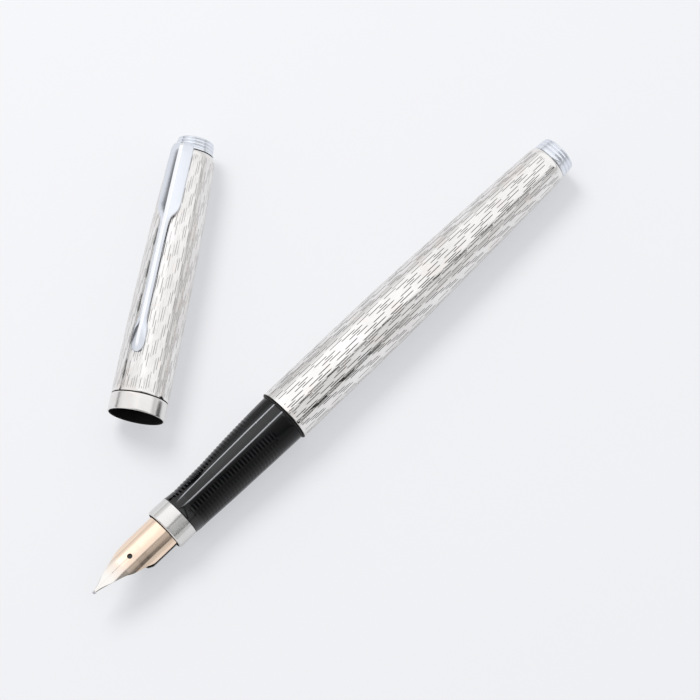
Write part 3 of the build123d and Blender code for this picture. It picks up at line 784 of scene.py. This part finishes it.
def clip():
    S = np.array(CLIP_ST)
    u = np.concatenate([np.arange(10.70, 17.6, 0.12), np.arange(17.7, 35.0, 0.5), np.arange(35.0, 40.4, 0.12),
                        np.arange(40.5, 49.8, 0.4), np.arange(49.9, 51.2, 0.08), [51.20]])
    W, C, HR, HE, T = [smooth_curve(u, S[:, 0], S[:, k]) for k in (1, 2, 3, 4, 5)]
    rings, ridge_highlight = [], []
    for i in range(len(u)):
        w, c, hr, he, t = W[i], C[i], HR[i], HE[i], T[i]
        off = min(0.16, 0.4 * (w - c))
        low = hr + (he - hr) * off / (w - c)
        pts = [(-w, he), (-c - off, low), (-c, hr), (c, hr), (c + off, low), (w, he), (w - 0.03, he - t), (0.0, he - t + 0.06),
               (-w + 0.03, he - t)]
        k = min(1.0, w / 0.6)
        prof = fillet(pts, [0.10 * k, 0.02 * k, 0.05 * k, 0.05 * k, 0.02 * k, 0.10 * k, 0.08 * k, 0.2 * k, 0.08 * k], n=3)
        rings.append(np.array([(u[i], a, b) for a, b in prof]))
        # the ridge's flat top, which the chrome paints as a highlight
        on_top = [1.0 if abs(a) < c + 0.06 and b > he - t + 0.12 and b > low - 0.001 + (hr - low) * 0.3 else 0.0 for a, b in prof]
        ridge_highlight += [v * float(step01(u[i], 11.2, 12.4)) for v in on_top]
    n = len(rings[0])
    verts = np.concatenate(rings)
    faces = grid_faces(len(rings), n, flip=True)
    faces.append(tuple(range(n)))
    faces.append(tuple(reversed(range((len(rings) - 1) * n, len(rings) * n))))
    # neck from the plate's end down to the ring, and the pad under the tip
    parts = [(verts, faces)]
    nx0, nx1 = 50.98, 51.30
    neck = []
    for z, w in ((3.84, 1.60), (4.10, 1.60), (4.60, 1.66), (4.90, 1.72)):
        neck.append(np.array([(nx0, -w, z), (nx1, -w, z), (nx1, w, z), (nx0, w, z)]))
    nv = np.concatenate(neck)
    nf = grid_faces(len(neck), 4) + [(3, 2, 1, 0), tuple(range(len(nv) - 4, len(nv)))]
    parts.append((nv, nf))
    pad = []
    for z, k in ((5.34, 0.55), (5.33, 0.80), (5.38, 1.0), (5.60, 1.0)):
        pad.append(np.array([(13.6 + 0.85 * k * math.cos(a), 0.48 * k * math.sin(a), z) for a in np.arange(24) * math.pi / 12]))
    pv = np.concatenate(pad)
    pf = grid_faces(len(pad), 24) + [tuple(reversed(range(24))), tuple(range(len(pv) - 24, len(pv)))]
    parts.append((pv, pf))
    V, F, off = [], [], 0
    for v, f in parts:
        V.append(v)
        F += [tuple(i + off for i in g) for g in f]
        off += len(v)
    attr = np.array(ridge_highlight + [0.0] * (sum(len(v) for v in V) - len(ridge_highlight)))
    ob = make("clip_detail", on_cap(np.concatenate(V)), F, "clip_chrome", "clip", ("clip",), attr=attr, sharp=28.0)
    return ob


clip()

# ---------------------------------------------------------------- turned trim
g = 98.60
lathe("barrel_button_detail", [
    (94.9, 0), (94.9, 1.20), (g + 0.02, 1.20), (g + 0.02, 3.60), (g + 0.10, 3.75),
    (g + 0.76, 3.74), (g + 0.84, 3.53), (g + 0.96, 3.53), (g + 1.04, 3.72),
    (g + 1.54, 3.69), (g + 1.62, 3.49), (g + 1.74, 3.49), (g + 1.82, 3.66),
    (g + 2.21, 3.61), (g + 2.29, 3.41), (g + 2.41, 3.41), (g + 2.49, 3.55),
    (g + 2.76, 3.45), (g + 2.84, 3.25), (g + 2.84, 0)],
    "trim_chrome", "barrel", radius=0.09, n=128, replaces=("barrel_end_button",))
b = 51.32
lathe("cap_button_detail", [
    (48.7, 0), (48.7, 1.50), (b, 1.50), (b, 3.48), (b + 0.08, 3.60),
    (b + 0.40, 3.60), (b + 0.48, 3.40), (b + 0.60, 3.40), (b + 0.68, 3.58),
    (b + 1.02, 3.55), (b + 1.10, 3.36), (b + 1.22, 3.36), (b + 1.30, 3.53),
    (b + 1.64, 3.48), (b + 1.72, 3.28), (b + 1.84, 3.28), (b + 1.92, 3.42),
    (53.48, 3.36), (53.60, 3.18), (53.60, 0)],
    "trim_chrome", "cap", place=on_cap, radius=0.08, n=128, replaces=("cap_top_button",))

# ---------------------------------------------------------------- floor, light
def floor():
    me = bpy.data.meshes.new("floor")
    s, c = 3.0, CAD_BOX[0].z - 0.00002
    me.from_pydata([(-s, -s, c), (s, -s, c), (s, s, c), (-s, s, c)], [], [(0, 1, 2, 3)])
    ob = bpy.data.objects.new("floor", me)
    bpy.context.scene.collection.objects.link(ob)
    T = Tree("floor_pale")
    v = T.coords()
    f = T.noise(v, 3.0, 2.0, 0.5)
    T.link(T.mix(f, rgba((0.248, 0.250, 0.256)), rgba((0.254, 0.256, 0.262))), T.b.inputs["Base Color"])
    T.b.inputs["Emission Color"].default_value = (0.955, 0.965, 1.0, 1.0)
    T.b.inputs["Emission Strength"].default_value = 0.528
    T.b.inputs["Roughness"].default_value = 0.75
    T.b.inputs["Specular IOR Level"].default_value = 0.2
    me.materials.append(T.m)


def light():
    scene = bpy.context.scene
    w = bpy.data.worlds.new("studio")
    scene.world = w
    w.use_nodes = True
    t = w.node_tree
    t.nodes.clear()
    N = lambda kind: t.nodes.new("ShaderNode" + kind)
    out, bg = N("OutputWorld"), N("Background")
    t.links.new(bg.outputs[0], out.inputs[0])
    tc, sep = N("TexCoord"), N("SeparateXYZ")
    t.links.new(tc.outputs["Generated"], sep.inputs[0])

    def m(op, a, b=None):
        k = N("Math")
        k.operation = op
        for v, s in ((a, k.inputs[0]), (b, k.inputs[1])):
            if v is None:
                continue
            if hasattr(v, "links"):
                t.links.new(v, s)
            else:
                s.default_value = v
        return k.outputs[0]

    def line(v, lo, hi, a, b):
        return ramp(v, lo, hi, a, b, "LINEAR")

    def ramp(v, lo, hi, a, b, kind="SMOOTHSTEP"):
        k = N("MapRange")
        k.interpolation_type = kind
        for name, val in (("From Min", lo), ("From Max", hi), ("To Min", a), ("To Max", b)):
            k.inputs[name].default_value = val
        t.links.new(v, k.inputs["Value"])
        return k.outputs["Result"]

    X, Y, Z = sep.outputs
    # a large softbox overhead, to the pen's left and past its tail; across is the distance inside its rim
    across = m("ADD", Y, m("ADD", m("MULTIPLY", m("MAXIMUM", X, 0.10), 2.1), -0.069))
    box = m("MULTIPLY", ramp(across, 0.03, 0.17, 0.0, 1.0), ramp(Z, 0.30, 0.56, 0.0, 1.0))
    lamp = m("ADD", ramp(X, 0.20, 0.36, 1.22, 1.08), ramp(X, 0.03, 0.08, -0.20, 0.0))
    hot = m("MULTIPLY", ramp(X, 0.095, 0.115, 1.0, 0.0), ramp(X, 0.03, 0.07, 0.0, 1.0))
    lamp = m("ADD", lamp, m("MULTIPLY", hot, ramp(Y, 0.15, 0.65, -0.16, 0.27)))
    # the room: dimmer low down and towards the nib's end
    left = ramp(Z, 0.0, 0.35, 0.70, 0.90)
    dim = m("MULTIPLY", ramp(Y, -0.60, -0.15, 0.17, 0.0), -1.0)
    right = m("ADD", ramp(X, 0.08, 0.18, 0.60, 0.86), m("MULTIPLY", dim, ramp(X, 0.08, 0.18, 1.0, 0.0)))
    right = m("ADD", right, ramp(X, 0.04, 0.09, -0.24, 0.0))
    right = m("ADD", right, m("MULTIPLY", ramp(Z, 0.48, 0.58, 0.34, 0.0), ramp(X, 0.095, 0.12, 1.0, 0.0)))
    side = ramp(Y, -0.1, 0.2, 0.0, 1.0)
    room = m("ADD", m("MULTIPLY", left, side), m("MULTIPLY", right, m("SUBTRACT", 1.0, side)))
    sky = m("ADD", m("MULTIPLY", room, m("SUBTRACT", 1.0, box)), m("MULTIPLY", box, lamp))
    # the room's dark opening low on the right, over the table; it is taller towards the nib's end
    mid = m("ADD", line(X, 0.090, 0.120, 0.70, 0.44), line(X, 0.12, 0.18, 0.0, -0.11))
    half = m("ADD", line(X, 0.090, 0.120, 0.16, 0.105), line(X, 0.12, 0.18, 0.0, 0.018))
    gap = m("SUBTRACT", 1.0, m("DIVIDE", m("ABSOLUTE", m("SUBTRACT", Z, mid)), half))
    deep = m("MULTIPLY", ramp(X, 0.11, 0.15, 0.66, 0.98), ramp(X, 0.198, 0.234, 1.0, 0.32))
    gap = m("MULTIPLY", ramp(gap, 0.0, 0.28, 0.0, 1.0), m("MULTIPLY", deep, ramp(Y, -0.50, -0.35, 1.0, 0.0)))
    # the softbox's black rim
    rim = m("MULTIPLY", ramp(m("ABSOLUTE", across), 0.036, 0.064, 1.0, 0.0), ramp(X, 0.11, 0.15, 0.30, 0.95))
    rim = m("MULTIPLY", rim, ramp(Z, 0.45, 0.60, 0.0, 1.0))
    # and another opening on the far left, just over the table
    low = m("MULTIPLY", ramp(Z, -0.02, 0.01, 0.0, 1.0), ramp(Z, 0.13, 0.19, 1.0, 0.0))
    low = m("MULTIPLY", low, m("MULTIPLY", ramp(Y, 0.3, 0.5, 0.0, 0.84), ramp(X, -0.28, -0.12, 1.0, 0.0)))
    dark = m("MAXIMUM", m("MAXIMUM", gap, low), rim)
    strength = m("MULTIPLY", sky, m("SUBTRACT", 1.0, dark))
    bg.inputs["Color"].default_value = (0.985, 0.99, 1.0, 1.0)
    t.links.new(strength, bg.inputs["Strength"])

    key = bpy.data.lights.new("key", "AREA")
    key.shape, key.size = "DISK", 0.36
    key.energy = 6.1
    key.color = (1.0, 0.985, 0.96)
    ob = bpy.data.objects.new("key", key)
    scene.collection.objects.link(ob)
    ob.visible_glossy = False
    d = Vector((0.14, 0.56, 0.82)).normalized()
    ob.location = d * 0.80
    ob.rotation_euler = (-d).to_track_quat("-Z", "Y").to_euler()
    scene.view_settings.view_transform = "Standard"
    scene.view_settings.look = "None"


floor()
light()
